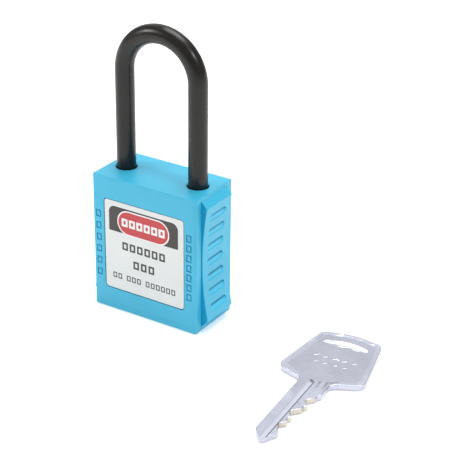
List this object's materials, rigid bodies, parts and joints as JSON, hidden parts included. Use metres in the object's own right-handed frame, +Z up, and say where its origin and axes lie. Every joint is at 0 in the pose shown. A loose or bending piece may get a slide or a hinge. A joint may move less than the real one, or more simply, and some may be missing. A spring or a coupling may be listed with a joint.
{
  "type": "safety padlock",
  "caption": "Plastic-bodied lockout padlock with a long nylon shackle, waisted grip sides, a labelled front and its flat key.",
  "frame": {"origin": "centre of the padlock's flat bottom face", "axes": "+X to the toe side of the shackle (the right, seen from the front label), +Y from the front label to the back, +Z up along the shackle"},
  "size_m": [0.0983, 0.0634, 0.0932],
  "materials": {
    "blue_abs": "fine satin moulded plastic",
    "black_nylon": "smooth moulded nylon, semi-gloss",
    "label_white": "printed film, semi-matt",
    "brass": "turned, plain",
    "zinc": "die-cast, plain",
    "spring_steel": "drawn steel, oiled",
    "key_nickel": "nickel-plated, lightly brushed"
  },
  "bodies": {
    "case": {"body_shell": "blue_abs", "base_cover": "blue_abs", "front_label": "label_white", "back_label": "label_white", "shackle_spring": "spring_steel", "shackle_stop_pin": "spring_steel", "cylinder_housing": "zinc", "pin_chamber_cover": "brass", "bolt_guide": "zinc", "retaining_screw": "spring_steel", "driver_pin_1": "zinc", "driver_pin_2": "zinc", "driver_pin_3": "zinc", "driver_pin_4": "zinc", "driver_pin_5": "zinc", "pin_spring_1": "spring_steel", "pin_spring_2": "spring_steel", "pin_spring_3": "spring_steel", "pin_spring_4": "spring_steel", "pin_spring_5": "spring_steel"},
    "shackle": {"shackle": "black_nylon"},
    "plug": {"cylinder_plug": "brass", "plug_retaining_clip": "spring_steel", "drive_cam": "zinc", "key_pin_1": "brass", "key_pin_2": "brass", "key_pin_3": "brass", "key_pin_4": "brass", "key_pin_5": "brass"},
    "bolt": {"lock_bolt": "spring_steel"},
    "key": {"key": "key_nickel"}
  },
  "joints": [
    {"name": "shackle_lift", "type": "slide", "parent": "case", "child": "shackle", "axis": [0, 0, 1], "range_m": [0, 0.0095], "deforming": ["shackle_spring"]},
    {"name": "plug_turn", "type": "hinge", "parent": "case", "child": "plug", "pos_m": [0.0065, 0, 0.0005], "axis": [0, 0, -1], "range_deg": [0, 90]},
    {"name": "bolt_throw", "type": "slide", "parent": "case", "child": "bolt", "axis": [1, 0, 0], "range_m": [0, 0.0025]},
    {"name": "key_pick_up", "type": "slide", "parent": "case", "child": "key", "axis": [0, 0, 1], "range_m": [0, 0.05]}
  ],
  "couplings": [
    {"joint": "bolt_throw", "follows": "plug_turn", "m_per_rad": 0.0015915}
  ]
}
